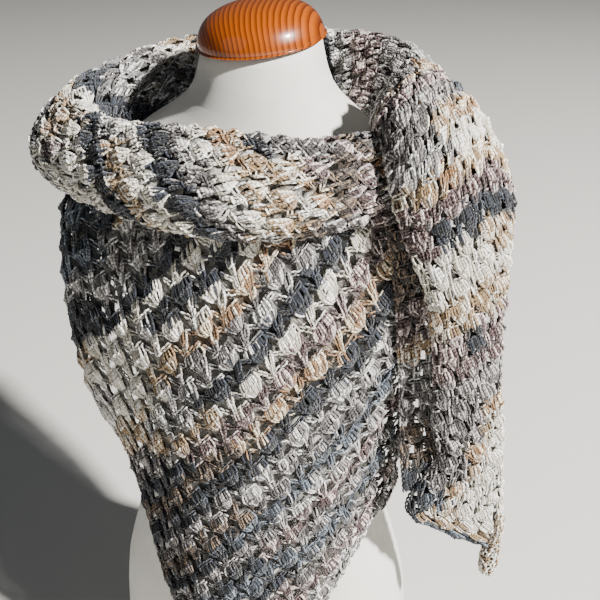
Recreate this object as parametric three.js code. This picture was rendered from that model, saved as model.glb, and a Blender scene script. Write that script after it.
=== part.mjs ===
import * as THREE from "three";

// A crocheted triangle shawl on a limbless dress form. Millimetres, +Z up, the form faces -Y.
// The origin is the middle of the form's flat base. A drop is measured down from the cap's rim.
const RIM = 820;
const CLOTH = 4;
const SEAM = 0.55;
const PANEL_SEAM = 0.5;
const CAP_SEAT = 0.4;
const SEAM_RADIUS = 90;

// How far the collar's inner edge lies above the form's shoulder, wall and all
const EDGE_LIFT = 2.6;

// A table's rows as objects, one value under each column name
function table(columns, rows) {
  return rows.map((row) => Object.fromEntries(columns.map((name, i) => [name, row[i]])));
}

// Dress form: half width across, depth to the front and to the back, and the tilt of the level
const BODY_ROUNDNESS = 2.1;
const BODY_SIDES = 48;
const BODY = [
  { drop: 820, half: 172, front: 116, back: 124, lean: 0 },
  { drop: 814, half: 176, front: 119, back: 128, lean: 0 },
  { drop: 760, half: 179, front: 121, back: 131, lean: 0 },
  { drop: 700, half: 179, front: 122, back: 132, lean: 0 },
  { drop: 620, half: 172, front: 118, back: 127, lean: 0 },
  { drop: 560, half: 157, front: 110, back: 114, lean: 0 },
  { drop: 500, half: 138, front: 99, back: 96, lean: 0 },
  { drop: 450, half: 125, front: 91, back: 84, lean: 0 },
  { drop: 410, half: 126, front: 92, back: 82, lean: 0 },
  { drop: 350, half: 136, front: 104, back: 90, lean: 0 },
  { drop: 290, half: 145, front: 117, back: 100, lean: 0 },
  { drop: 230, half: 150, front: 120, back: 107, lean: 0 },
  { drop: 180, half: 156, front: 106, back: 108, lean: 0 },
  { drop: 150, half: 158, front: 94, back: 105, lean: 0 },
  { drop: 125, half: 155, front: 85, back: 99, lean: 1 },
  { drop: 105, half: 146, front: 78, back: 91, lean: 3 },
  { drop: 88, half: 130, front: 73, back: 84, lean: 5 },
  { drop: 74, half: 112, front: 69, back: 77, lean: 7 },
  { drop: 62, half: 92, front: 65, back: 70, lean: 9 },
  { drop: 50, half: 76, front: 62, back: 65, lean: 10 },
  { drop: 38, half: 65, front: 59, back: 61, lean: 11 },
  { drop: 24, half: 58, front: 56, back: 57, lean: 12 },
  { drop: 10, half: 54, front: 53, back: 54, lean: 13 },
  { drop: 1, half: 52, front: 52, back: 52, lean: 13 },
];

// Turned pine cap, its level tilted as the neck is
const CAP_LEAN = 13;
const CAP_SIDES = 40;
const CAP = [
  { radius: 0, rise: 0 },
  { radius: 50.5, rise: 0 },
  { radius: 54, rise: 1.6 },
  { radius: 55.6, rise: 5 },
  { radius: 55.2, rise: 9.5 },
  { radius: 52, rise: 16.5 },
  { radius: 45, rise: 23.5 },
  { radius: 35, rise: 28.8 },
  { radius: 23, rise: 32 },
  { radius: 11, rise: 33.6 },
  { radius: 0, rise: 34 },
];

// Collar sections round the neck: turn 0 is the front and +90 the wearer's left.
// Inner edge, crest, outer bulge, lower edge and the turned-under end, each with radius and drop.
const COLLAR_AT = [0, 0.22, 0.6, 0.84, 1];
const COLLAR_COLUMNS = [
  "turn", "inR", "inD", "topR", "topD", "outR",
  "outD", "lowR", "lowD", "endR", "endD",
];
const COLLAR_ROUND = table(COLLAR_COLUMNS, [
  [-180, 86, 80, 110, 10, 146, 48, 158, 108, 146, 122],
  [-150, 85, 80, 114, 12, 152, 52, 166, 112, 154, 126],
  [-128, 84, 80, 120, 16, 164, 58, 182, 118, 170, 132],
  [-112, 85, 80, 132, 22, 182, 66, 198, 124, 186, 138],
  [-98, 99, 90, 150, 32, 204, 76, 207, 126, 194, 140],
  [-86, 121, 90, 168, 43, 216, 86, 211, 124, 191, 136],
  [-74, 134, 84, 166, 54, 210, 90, 202, 122, 177, 132],
  [-60, 127, 68, 149, 58, 184, 92, 176, 121, 152, 130],
  [-45, 119, 60, 137, 53, 165, 90, 158, 120, 135, 129],
  [-30, 109, 56, 126, 50, 155, 88, 149, 119, 126, 128],
  [-15, 103, 53, 120, 48, 152, 87, 147, 118, 123, 127],
  [0, 102, 53, 119, 47, 151, 87, 147, 118, 122, 127],
  [15, 105, 54, 121, 48, 149, 88, 145, 118, 122, 127],
  [30, 111, 56, 127, 50, 148, 89, 143, 118, 123, 127],
  [45, 115, 58, 130, 50, 147, 90, 140, 118, 126, 127],
  [60, 115, 62, 130, 52, 147, 90, 144, 118, 136, 128],
  [76, 113, 74, 134, 54, 160, 90, 166, 120, 158, 132],
  [90, 110, 84, 138, 36, 172, 80, 184, 122, 174, 136],
  [102, 101, 80, 140, 20, 180, 68, 190, 122, 180, 136],
  [118, 90, 80, 138, 10, 178, 58, 188, 120, 176, 134],
  [138, 86, 80, 126, 6, 166, 50, 176, 114, 164, 128],
  [158, 86, 80, 116, 7, 152, 47, 165, 110, 153, 124],
]);
const COLLAR = [
  ...COLLAR_ROUND,
  ...COLLAR_ROUND.slice(0, 4).map((row) => ({ ...row, turn: row.turn + 360 })),
];
const COLLAR_ROWS = 13;
const COLLAR_PIECES = [
  { name: "collar_front", from: -72, to: 70, columns: 26 },
  { name: "collar_left", from: -138, to: -72, columns: 13 },
  { name: "collar_back", from: 138, to: 222, columns: 14 },
  { name: "collar_right", from: 96, to: 138, columns: 8 },
];

// Main triangle below the roll: its radius at seven drops, and the drop of its free edge
const DRAPE_DROPS = [160, 230, 310, 390, 470, 600, 740];
const DRAPE_COLUMNS = ["turn", "r160", "r230", "r310", "r390", "r470", "r600", "r740", "hem"];
const DRAPE = table(DRAPE_COLUMNS, [
  [-140, 172, 170, 168, 168, 166, 162, 160, 158],
  [-120, 186, 182, 178, 176, 174, 170, 168, 205],
  [-104, 195, 194, 190, 186, 180, 172, 168, 262],
  [-88, 197, 199, 196, 190, 178, 170, 166, 316],
  [-76, 192, 198, 195, 185, 166, 160, 158, 348],
  [-68, 184, 192, 188, 174, 154, 152, 152, 372],
  [-60, 172, 182, 177, 158, 146, 147, 147, 410],
  [-50, 156, 168, 163, 149, 142, 143, 143, 462],
  [-40, 143, 156, 153, 145, 140, 140, 140, 518],
  [-28, 134, 147, 146, 142, 138, 136, 135, 586],
  [-14, 129, 141, 142, 139, 136, 134, 132, 664],
  [-2, 127, 139, 140, 137, 134, 132, 131, 730],
  [12, 127, 139, 140, 138, 135, 133, 132, 690],
  [28, 127, 141, 141, 139, 137, 136, 135, 620],
  [45, 130, 146, 145, 141, 140, 143, 143, 548],
  [57, 139, 151, 149, 144, 145, 150, 150, 498],
  [68, 151, 157, 153, 147, 149, 156, 156, 462],
  [80, 164, 163, 157, 149, 151, 160, 160, 462],
  [94, 171, 166, 159, 150, 151, 160, 160, 436],
  [110, 172, 166, 158, 150, 150, 158, 158, 352],
  [126, 168, 160, 152, 146, 146, 152, 152, 262],
  [142, 162, 154, 148, 142, 142, 146, 146, 178],
]);
const DRAPE_PIECES = [
  { name: "front_panel", from: -68, to: 68, columns: 26, rows: 16 },
  { name: "drape_left", from: -136, to: -68, columns: 12, rows: 9 },
  { name: "drape_right", from: 68, to: 138, columns: 12, rows: 11 },
];

// Soft vertical folds of the main triangle: where each runs, how wide and how deep it is
const FOLDS = [
  { turn: -58, width: 7, depth: 4, from: 190, to: 420 },
  { turn: -36, width: 9, depth: -4, from: 260, to: 560 },
  { turn: -8, width: 8, depth: 3, from: 380, to: 720 },
  { turn: 22, width: 10, depth: -4, from: 300, to: 640 },
  { turn: 48, width: 8, depth: 4, from: 220, to: 540 },
  { turn: 84, width: 9, depth: 5, from: 240, to: 470 },
  { turn: -96, width: 9, depth: 5, from: 190, to: 320 },
];

// The end that comes over the shoulder and hangs down, in rows across it. Each row has its left
// and right edge, given across the facing plane, out from it and by drop, and an arch between them.
// Up to the second row it grows out of the collar's own section, carried on past the seam.
const TAIL_FACING = 18;
const END_SEAM_TURN = 96;
const END_BLEND_TURN = 9;
const END_ARCH_LEAN = 0.85;
const END_ARCH_SHOULDER = 0.6;
const END_SECTION_LEAN = 1.4;
const END_COLUMNS = ["at", "leftA", "leftO", "leftD", "rightA", "rightO", "rightD", "archO", "archU"];
const END = table(END_COLUMNS, [
  [0, 101, 14, 62, 196, 15, 118, 0, 66],
  [1, 99, 36, 60, 206, 38, 108, 4, 66],
  [2, 95, 60, 58, 213, 60, 106, 10, 64],
  [3, 94, 86, 48, 213, 82, 110, 20, 44],
  [4, 98, 109, 66, 211, 100, 120, 24, 30],
  [5, 104, 119, 90, 209, 112, 134, 20, 14],
  [6, 112, 123, 116, 208, 117, 150, 14, 5],
  [7, 122, 124, 142, 208, 120, 170, 10, 1],
  [8, 137, 124, 172, 209, 121, 196, 9, 0],
  [9, 147, 124, 206, 211, 122, 228, 8, 0],
  [10, 155, 123, 262, 217, 122, 280, 7, 0],
  [11, 160, 122, 324, 227, 121, 336, 6, 0],
  [12, 170, 120, 362, 232, 120, 374, 6, 0],
  [13, 158, 119, 390, 236, 119, 402, 5, 0],
  [14, 145, 118, 420, 239, 118, 430, 4, 0],
  [15, 149, 118, 440, 241, 118, 450, 4, 0],
  [16, 181, 118, 461, 243, 118, 468, 3, 0],
  [17, 224, 118, 482, 245, 118, 485, 1, 0],
]);
const END_PIECES = [
  { name: "shoulder_fold", from: 0, to: 5.99, columns: 12, rows: 15 },
  { name: "tail_front", from: 6.01, to: 17, columns: 8, rows: 22 },
];

// The same end's lower layer, folded behind the upper one
const UNDER = [
  { drop: 128, left: 106, right: 180, out: 106, arch: 0 },
  { drop: 200, left: 119, right: 188, out: 105, arch: 2 },
  { drop: 300, left: 130, right: 196, out: 106, arch: 3 },
  { drop: 370, left: 136, right: 204, out: 110, arch: 2 },
  { drop: 412, left: 141, right: 206, out: 115.4, arch: 0 },
];
const UNDER_COLUMNS = 6;
const UNDER_ROWS = 10;

// The knotted tip
const TIP = [
  { drop: 485.6, left: 226, right: 245, out: 116.5, thick: 8 },
  { drop: 497, left: 228, right: 246, out: 116.5, thick: 11 },
  { drop: 514, left: 231, right: 247, out: 116.5, thick: 12 },
  { drop: 526, left: 235, right: 245, out: 116.5, thick: 8 },
];
const TIP_SIDES = 12;

const JERSEY = new THREE.MeshStandardMaterial({ color: 0xe4e1db, roughness: 0.9 });
const PINE = new THREE.MeshStandardMaterial({ color: 0xc8661a, roughness: 0.25 });
const YARN = new THREE.MeshStandardMaterial({ color: 0x9a918c, roughness: 0.95 });
const YARN_PALE = new THREE.MeshStandardMaterial({ color: 0xc9b79c, roughness: 0.95 });

const radians = THREE.MathUtils.degToRad;

// Half a seam's width as a turn, at the radius of the collar's inner edge
const SEAM_TURN = THREE.MathUtils.radToDeg(SEAM / 2 / SEAM_RADIUS);

// Step of the slopes that give a wall's normal, and the search for the form's shoulder
const SLOPE_STEP = 1e-3;
const SHOULDER_LOWEST = 200;
const SHOULDER_HALVINGS = 24;

const BODY_UP = BODY.map((row) => ({ ...row, height: RIM - row.drop }));

// A smooth curve through values at knots, with the slope of its neighbours at each knot
function spline(knots, values, at) {
  const last = knots.length - 1;
  let i = 0;
  while (i < last - 1 && at > knots[i + 1]) i += 1;
  const slope = (k) => {
    const before = Math.max(k - 1, 0);
    const after = Math.min(k + 1, last);
    return (values[after] - values[before]) / (knots[after] - knots[before]);
  };
  const span = knots[i + 1] - knots[i];
  const t = (at - knots[i]) / span;
  const rest = 1 - t;
  return (
    values[i] * rest * rest * (1 + 2 * t) +
    values[i + 1] * t * t * (1 + 2 * rest) +
    span * t * rest * (rest * slope(i) - t * slope(i + 1))
  );
}

// One column of a table, read smoothly at a place along the table's key
function read(table, key, column, at) {
  const knots = table.map((row) => row[key]);
  return spline(knots, table.map((row) => row[column]), at);
}

// A closed mesh from rings of points: each ring is joined to the next, and both ends are capped
function ringMesh(name, material, rings) {
  const sides = rings[0].length;
  const places = rings.flat().flatMap((p) => [p.x, p.y, p.z]);
  const faces = [];
  for (let k = 0; k < rings.length - 1; k += 1) {
    for (let i = 0; i < sides; i += 1) {
      const j = (i + 1) % sides;
      const a = k * sides + i;
      const b = k * sides + j;
      faces.push(a, b, b + sides, a, b + sides, a + sides);
    }
  }
  for (const [start, flip] of [[0, true], [(rings.length - 1) * sides, false]]) {
    const middle = places.length / 3;
    const centre = new THREE.Vector3();
    const ring = start === 0 ? rings[0] : rings[rings.length - 1];
    ring.forEach((p) => centre.addScaledVector(p, 1 / sides));
    places.push(centre.x, centre.y, centre.z);
    for (let i = 0; i < sides; i += 1) {
      const j = (i + 1) % sides;
      if (flip) faces.push(start + j, start + i, middle);
      else faces.push(start + i, start + j, middle);
    }
  }
  return solid(name, material, places, faces);
}

function solid(name, material, places, faces) {
  const geometry = new THREE.BufferGeometry();
  geometry.setAttribute("position", new THREE.Float32BufferAttribute(places, 3));
  geometry.setIndex(faces);
  geometry.computeVertexNormals();
  const mesh = new THREE.Mesh(geometry, material);
  mesh.name = name;
  return mesh;
}

// A cloth wall: the face that shows is surface(u, v), the other lies CLOTH behind it.
// Seen from outside, u runs to the right and v runs down.
function clothWall(name, material, surface, us, vs) {
  const outer = [];
  const inner = [];
  for (const u of us) {
    for (const v of vs) {
      const p = surface(u, v);
      const du = surface(u + SLOPE_STEP, v).sub(surface(u - SLOPE_STEP, v));
      const dv = surface(u, v + SLOPE_STEP).sub(surface(u, v - SLOPE_STEP));
      const normal = dv.cross(du).normalize();
      outer.push(p.x, p.y, p.z);
      const q = p.clone().addScaledVector(normal, -CLOTH);
      inner.push(q.x, q.y, q.z);
    }
  }
  const rows = vs.length;
  const count = us.length * rows;
  const at = (i, j) => i * rows + j;
  const faces = [];
  const quad = (a, b, c, d) => faces.push(a, b, c, a, c, d);
  for (let i = 0; i < us.length - 1; i += 1) {
    for (let j = 0; j < rows - 1; j += 1) {
      quad(at(i, j), at(i, j + 1), at(i + 1, j + 1), at(i + 1, j));
      quad(count + at(i, j), count + at(i + 1, j), count + at(i + 1, j + 1), count + at(i, j + 1));
    }
  }
  const rim = [];
  for (let i = 0; i < us.length - 1; i += 1) rim.push(at(i, 0));
  for (let j = 0; j < rows - 1; j += 1) rim.push(at(us.length - 1, j));
  for (let i = us.length - 1; i > 0; i -= 1) rim.push(at(i, rows - 1));
  for (let j = rows - 1; j > 0; j -= 1) rim.push(at(0, j));
  rim.forEach((a, k) => {
    const b = rim[(k + 1) % rim.length];
    quad(a, b, count + b, count + a);
  });
  return solid(name, material, [...outer, ...inner], faces);
}

// Values spread evenly from one end to the other
function spread(from, to, parts) {
  return Array.from({ length: parts + 1 }, (_, i) => from + ((to - from) * i) / parts);
}

// The form's outline at one drop, as a point for each turn
function bodyPoint(drop, turn) {
  const half = read(BODY_UP, "height", "half", RIM - drop);
  const front = read(BODY_UP, "height", "front", RIM - drop);
  const back = read(BODY_UP, "height", "back", RIM - drop);
  const lean = radians(read(BODY_UP, "height", "lean", RIM - drop));
  const deep = Math.cos(turn) > 0 ? front : back;
  const across = Math.abs(Math.sin(turn) / half) ** BODY_ROUNDNESS;
  const along = Math.abs(Math.cos(turn) / deep) ** BODY_ROUNDNESS;
  const radius = (across + along) ** (-1 / BODY_ROUNDNESS);
  const x = radius * Math.sin(turn);
  const y = -radius * Math.cos(turn);
  return new THREE.Vector3(x, y, RIM - drop + y * Math.tan(lean));
}

// The form's torso, from its flat base to the top of its neck
function formTorso() {
  const rings = BODY.map((row) =>
    spread(0, 360, BODY_SIDES)
      .slice(0, BODY_SIDES)
      .map((turn) => bodyPoint(row.drop, radians(turn))),
  );
  return ringMesh("form_torso", JERSEY, rings);
}

// The turned cap on the neck
function formCap() {
  const profile = CAP.map((row) => new THREE.Vector2(row.radius, row.rise));
  const geometry = new THREE.LatheGeometry(profile, CAP_SIDES);
  geometry.rotateX(Math.PI / 2);
  const cap = new THREE.Mesh(geometry, PINE);
  cap.name = "form_cap";
  cap.rotation.x = radians(CAP_LEAN);
  cap.position.z = RIM - 1 + CAP_SEAT;
  return cap;
}

// The drop at which the form's surface lies under a point of the plan
function shoulderDrop(radius, turn) {
  let high = 1;
  let low = SHOULDER_LOWEST;
  for (let i = 0; i < SHOULDER_HALVINGS; i += 1) {
    const middle = (high + low) / 2;
    const p = bodyPoint(middle, turn);
    if (Math.hypot(p.x, p.y) < radius) high = middle;
    else low = middle;
  }
  return RIM - bodyPoint(low, turn).z;
}

// The collar round the neck: v runs over the crest and under to the turned-in end
function collarPoint(turn, v) {
  const column = (name) => read(COLLAR, "turn", name, turn);
  const angle = radians(turn);
  const inR = column("inR");
  const inD = Math.min(column("inD"), shoulderDrop(inR, angle) - EDGE_LIFT);
  const radii = [inR, column("topR"), column("outR"), column("lowR"), column("endR")];
  const drops = [inD, column("topD"), column("outD"), column("lowD"), column("endD")];
  const radius = spline(COLLAR_AT, radii, v);
  const drop = spline(COLLAR_AT, drops, v);
  return new THREE.Vector3(radius * Math.sin(angle), -radius * Math.cos(angle), RIM - drop);
}

// How far the folds push the triangle out at one place
function foldDepth(turn, drop) {
  let depth = 0;
  for (const fold of FOLDS) {
    const aside = (turn - fold.turn) / fold.width;
    const along = (drop - fold.from) / (fold.to - fold.from);
    if (along > 0 && along < 1) {
      depth += fold.depth * Math.exp(-aside * aside) * Math.sin(Math.PI * along) ** 2;
    }
  }
  return depth;
}

// The main triangle from the roll down to its free edge
function drapePoint(turn, v) {
  const endR = read(COLLAR, "turn", "endR", turn);
  const endD = read(COLLAR, "turn", "endD", turn);
  const hem = read(DRAPE, "turn", "hem", turn);
  const radii = DRAPE_DROPS.map((drop) => read(DRAPE, "turn", `r${drop}`, turn));
  const drop = endD + PANEL_SEAM + (hem - endD - PANEL_SEAM) * v;
  const radius = spline([endD, ...DRAPE_DROPS], [endR, ...radii], drop) + foldDepth(turn, drop);
  const angle = radians(turn);
  return new THREE.Vector3(radius * Math.sin(angle), -radius * Math.cos(angle), RIM - drop);
}

// A place given across the facing plane, out from it and by its drop
function facing(across, out, drop) {
  const angle = radians(TAIL_FACING);
  return new THREE.Vector3(
    across * Math.cos(angle) + out * Math.sin(angle),
    across * Math.sin(angle) - out * Math.cos(angle),
    RIM - drop,
  );
}

// The arch of a row: none at its edges, full over its left half
function archShape(u) {
  return Math.sin(Math.PI * THREE.MathUtils.clamp(u, 0, 1) ** END_ARCH_LEAN) ** END_ARCH_SHOULDER;
}

// One row of the end, from its left edge to its right one
function endRow(u, along) {
  const column = (name) => read(END, "at", name, along);
  const left = facing(column("leftA"), column("leftO"), column("leftD"));
  const right = facing(column("rightA"), column("rightO"), column("rightD"));
  const level = facing(0, 0, 0);
  const arch = facing(0, column("archO"), -column("archU")).sub(level);
  return left.lerp(right, u).addScaledVector(arch, archShape(u));
}

// The end's surface, its first row blended out of the collar's section
function endPoint(u, along) {
  if (along >= 1) return endRow(u, along);
  const turn = END_SEAM_TURN - SEAM_TURN - END_BLEND_TURN * along;
  const collar = collarPoint(turn, Math.max(u, 0) ** END_SECTION_LEAN);
  return collar.lerp(endRow(u, along), along * along * (3 - 2 * along));
}

// A hanging layer, flat or slightly bulging between two edges
function hangingPoint(table) {
  return (u, v) => {
    const column = (name) => read(table, "drop", name, v);
    const across = column("left") + (column("right") - column("left")) * u;
    return facing(across, column("out") + column("arch") * 4 * u * (1 - u), v);
  };
}

// The knotted tip, an oval bundle narrowing at both ends
function tailTip() {
  const rings = TIP.map((row) =>
    spread(0, 360, TIP_SIDES)
      .slice(0, TIP_SIDES)
      .map((turn) => {
        const angle = radians(turn);
        const across = (row.left + row.right) / 2 + ((row.right - row.left) / 2) * Math.sin(angle);
        return facing(across, row.out + (row.thick / 2) * Math.cos(angle), row.drop);
      }),
  );
  return ringMesh("tail_tip", YARN_PALE, rings.reverse());
}

const part = new THREE.Group();
part.add(formTorso(), formCap());
for (const piece of COLLAR_PIECES) {
  const turns = spread(piece.from + SEAM_TURN, piece.to - SEAM_TURN, piece.columns);
  part.add(clothWall(piece.name, YARN, collarPoint, turns, spread(0, 1, COLLAR_ROWS)));
}
for (const piece of DRAPE_PIECES) {
  const turns = spread(piece.from + SEAM_TURN, piece.to - SEAM_TURN, piece.columns);
  part.add(clothWall(piece.name, YARN, drapePoint, turns, spread(0, 1, piece.rows)));
}
for (const piece of END_PIECES) {
  const across = spread(0, Math.PI, piece.columns).map((turn) => (1 - Math.cos(turn)) / 2);
  const along = spread(piece.from, piece.to, piece.rows);
  part.add(clothWall(piece.name, YARN, endPoint, across, along));
}
const underDrops = spread(UNDER[0].drop, UNDER[UNDER.length - 1].drop, UNDER_ROWS);
part.add(clothWall("tail_under", YARN, hangingPoint(UNDER), spread(0, 1, UNDER_COLUMNS), underDrops));
part.add(tailTip());

export default part;
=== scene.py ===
"""A crocheted triangle shawl on a limbless dress form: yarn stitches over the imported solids."""
import math

import bpy
import numpy as np
from mathutils import Matrix


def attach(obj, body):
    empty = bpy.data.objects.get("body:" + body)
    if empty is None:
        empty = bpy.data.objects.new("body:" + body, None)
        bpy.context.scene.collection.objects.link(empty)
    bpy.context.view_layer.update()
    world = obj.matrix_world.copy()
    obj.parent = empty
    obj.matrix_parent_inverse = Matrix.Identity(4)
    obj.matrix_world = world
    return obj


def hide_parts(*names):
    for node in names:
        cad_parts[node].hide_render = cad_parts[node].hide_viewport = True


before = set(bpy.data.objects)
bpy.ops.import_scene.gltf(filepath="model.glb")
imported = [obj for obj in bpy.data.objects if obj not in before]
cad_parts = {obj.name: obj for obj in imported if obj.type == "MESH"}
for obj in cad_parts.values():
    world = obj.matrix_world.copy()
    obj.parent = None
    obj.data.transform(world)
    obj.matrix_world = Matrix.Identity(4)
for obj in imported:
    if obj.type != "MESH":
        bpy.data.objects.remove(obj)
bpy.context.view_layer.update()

# Sizes in millimetres, as the part's source has them. A drop is measured down from the cap's rim,
# and a turn goes round the form's axis: 0 is the front, +90 the wearer's left.
MM = 0.001
RIM = 820.0
EDGE_LIFT = 2.6  # from the form to the collar's inner edge
PANEL_SEAM = 0.5  # between the roll's turned-in end and the main triangle
HALF_SEAM = 0.18  # degrees of turn left free at each upright seam
CHART_RADIUS = 150.0  # at which a chart measures turns
rng = np.random.default_rng(20)


def table(text):
    """A table's columns as arrays by name: a line of names, then a line of numbers for each row."""
    names, *rows = (line.split() for line in text.strip().splitlines())
    return dict(zip(names, np.array(rows, float).T))


BODY_ROUNDNESS = 2.1
BODY = table("""
    drop half front back lean
    820 172 116 124 0
    814 176 119 128 0
    760 179 121 131 0
    700 179 122 132 0
    620 172 118 127 0
    560 157 110 114 0
    500 138 99 96 0
    450 125 91 84 0
    410 126 92 82 0
    350 136 104 90 0
    290 145 117 100 0
    230 150 120 107 0
    180 156 106 108 0
    150 158 94 105 0
    125 155 85 99 1
    105 146 78 91 3
    88 130 73 84 5
    74 112 69 77 7
    62 92 65 70 9
    50 76 62 65 10
    38 65 59 61 11
    24 58 56 57 12
    10 54 53 54 13
    1 52 52 52 13
""")
BODY = {"height": RIM - BODY["drop"], **BODY}
CAP_LEAN = 13.0
# The photograph shows the neck's top a little higher, less tilted forward and rolled to the left
TOP_LEAN, TOP_ROLL, TOP_RISE = 7.0, 5.5, 5.0
TOP_STARTS, TOP_BLEND = 46, 40
CAP_BASE = 819.4 + TOP_RISE
CAP = table("""
    radius rise
    0 0
    53.5 0
    55.3 0.9
    55.6 3
    54.6 8
    51.2 15
    45.6 21
    37 26
    26 29.6
    13 31.6
    0 32
""")

# Collar sections: inner edge, crest, outer bulge, lower edge and turned-in end, as radius and drop
COLLAR_AT = np.array([0, 0.22, 0.6, 0.84, 1])
COLLAR_ROUND = table("""
    turn inR inD topR topD outR outD lowR lowD endR endD
    -180 86 80 110 10 146 48 158 108 146 122
    -150 85 80 114 12 152 52 166 112 154 126
    -128 84 80 120 16 164 58 182 118 170 132
    -112 85 80 132 22 182 66 198 124 186 138
    -98 99 90 150 32 204 76 207 126 194 140
    -86 121 90 168 43 216 86 211 124 191 136
    -74 134 84 166 54 210 90 202 122 177 132
    -60 127 68 149 58 184 92 176 121 152 130
    -45 119 60 137 53 165 90 158 120 135 129
    -30 109 56 126 50 155 88 149 119 126 128
    -15 103 53 120 48 152 87 147 118 123 127
    0 102 53 119 47 151 87 147 118 122 127
    15 105 54 121 48 149 88 145 118 122 127
    30 111 56 127 50 148 89 143 118 123 127
    45 115 58 130 50 147 90 140 118 126 127
    60 115 62 130 52 147 90 144 118 136 128
    76 113 74 134 54 160 90 166 120 158 132
    90 110 84 138 36 172 80 184 122 174 136
    102 101 80 140 20 180 68 190 122 180 136
    118 90 80 138 10 178 58 188 120 176 134
    138 86 80 126 6 166 50 176 114 164 128
    158 86 80 116 7 152 47 165 110 153 124
""")
# The first four sections again, one turn on, so that the collar reads on past the nape
COLLAR = {
    name: np.append(column, column[:4] + (360 if name == "turn" else 0))
    for name, column in COLLAR_ROUND.items()
}

# Main triangle: its radius at each drop, and the drop of its free edge
DRAPE_DROPS = (160, 230, 310, 390, 470, 600, 740)
DRAPE = table("""
    turn r160 r230 r310 r390 r470 r600 r740 hem
    -140 172 170 168 168 166 162 160 158
    -120 186 182 178 176 174 170 168 205
    -104 195 194 190 186 180 172 168 262
    -88 197 199 196 190 178 170 166 316
    -76 192 198 195 185 166 160 158 348
    -68 184 192 188 174 154 152 152 372
    -60 172 182 177 158 146 147 147 410
    -50 156 168 163 149 142 143 143 462
    -40 143 156 153 145 140 140 140 518
    -28 134 147 146 142 138 136 135 586
    -14 129 141 142 139 136 134 132 664
    -2 127 139 140 137 134 132 131 730
    12 127 139 140 138 135 133 132 690
    28 127 141 141 139 137 136 135 620
    45 130 146 145 141 140 143 143 548
    57 139 151 149 144 145 150 150 498
    68 151 157 153 147 149 156 156 462
    80 164 163 157 149 151 160 160 462
    94 171 166 159 150 151 160 160 436
    110 172 166 158 150 150 158 158 352
    126 168 160 152 146 146 152 152 262
    142 162 154 148 142 142 146 146 178
""")
FOLDS = table("""
    turn width depth top low
    -58 7 4 190 420
    -36 9 -4 260 560
    -8 8 3 380 720
    22 10 -4 300 640
    48 8 4 220 540
    84 9 5 240 470
    -96 9 5 190 320
""")

# The end over the shoulder, in rows across it: left and right edge across the facing plane, out
# from it and by drop, and the arch between them
TAIL_FACING = math.radians(18)
END_START = 95.825
END_BLEND_TURN = 9.0
END_ARCH_LEAN = 0.85
END_ARCH_SHOULDER = 0.6
END_SECTION_LEAN = 1.4
END = table("""
    at leftA leftO leftD rightA rightO rightD archO archU
    0 101 14 62 196 15 118 0 66
    1 99 36 60 206 38 108 4 66
    2 95 60 58 213 60 106 10 64
    3 94 86 48 213 82 110 20 44
    4 98 109 66 211 100 120 24 30
    5 104 119 90 209 112 134 20 14
    6 112 123 116 208 117 150 14 5
    7 122 124 142 208 120 170 10 1
    8 137 124 172 209 121 196 9 0
    9 147 124 206 211 122 228 8 0
    10 155 123 262 217 122 280 7 0
    11 160 122 324 227 121 336 6 0
    12 170 120 362 232 120 374 6 0
    13 158 119 390 236 119 402 5 0
    14 145 118 420 239 118 430 4 0
    15 149 118 440 241 118 450 4 0
    16 181 118 461 243 118 468 3 0
    17 224 118 482 245 118 485 1 0
""")
UNDER = table("""
    drop left right out arch
    128 106 180 106 0
    200 119 188 105 2
    300 130 196 106 3
    370 136 204 110 2
    412 141 206 115.4 0
""")
TIP = table("""
    drop left right out thick
    485.6 226 245 116.5 8
    497 228 246 116.5 11
    514 231 247 116.5 12
    526 235 245 116.5 8
""")
# The tip's bundle of loops, from where it leaves the end's edge
KNOT = table("""
    drop middle out half deep
    440 240.5 121.5 2.4 2.4
    455 241 121.5 3.4 3.2
    470 240 120.5 5 4.2
    486 239 118 7.6 5.6
    498 238 116.5 8.8 6.4
    511 238 116.5 8.9 6.6
    521 238 116.5 7.6 6
    528 238.5 116.5 4.2 3.6
""")


# Curves and surfaces, worked out for whole arrays at once

def unit(vectors):
    """The same directions with the length one."""
    return vectors / np.maximum(np.linalg.norm(vectors, axis=-1, keepdims=True), 1e-9)


def run_along(points):
    """The length run along each line of points, starting from nought."""
    steps = np.linalg.norm(np.diff(points, axis=-2), axis=-1)
    return np.concatenate([np.zeros_like(steps[..., :1]), np.cumsum(steps, axis=-1)], axis=-1)


def spline(knots, values, at):
    """Cubic Hermite curve through the values at the knots, each slope that of its neighbours."""
    at = np.asarray(at, float)
    shape, at = at.shape, at.ravel()
    knots, values = (
        np.broadcast_to(x.reshape(len(x), -1), (len(x), at.size)) for x in (knots, values)
    )
    last = len(knots) - 1
    i = np.clip((knots[1:-1] < at).sum(axis=0), 0, last - 1)

    def pick(array, k):
        """What the array holds for each place at that place's knot k."""
        return np.take_along_axis(array, k[None], 0)[0]

    def slope(k):
        """The rise between the knots before and after k, over their distance."""
        before, after = np.maximum(k - 1, 0), np.minimum(k + 1, last)
        rise = pick(values, after) - pick(values, before)
        return rise / (pick(knots, after) - pick(knots, before))

    span = pick(knots, i + 1) - pick(knots, i)
    t = (at - pick(knots, i)) / span
    rest = 1 - t
    curve = (
        pick(values, i) * rest**2 * (1 + 2 * t)
        + pick(values, i + 1) * t**2 * (1 + 2 * rest)
        + span * t * rest * (rest * slope(i) - t * slope(i + 1))
    )
    return curve.reshape(shape)


def read(columns, names, at):
    """A table's named columns, each read smoothly along the table's first column."""
    knots = next(iter(columns.values()))
    return [spline(knots, columns[name], at) for name in names.split()]


def around(radius, angle, drop):
    """The point at a radius and an angle round the axis, a drop below the rim."""
    radius, angle, drop = np.broadcast_arrays(radius, angle, drop)
    return np.stack([radius * np.sin(angle), -radius * np.cos(angle), RIM - drop], -1)


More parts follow.
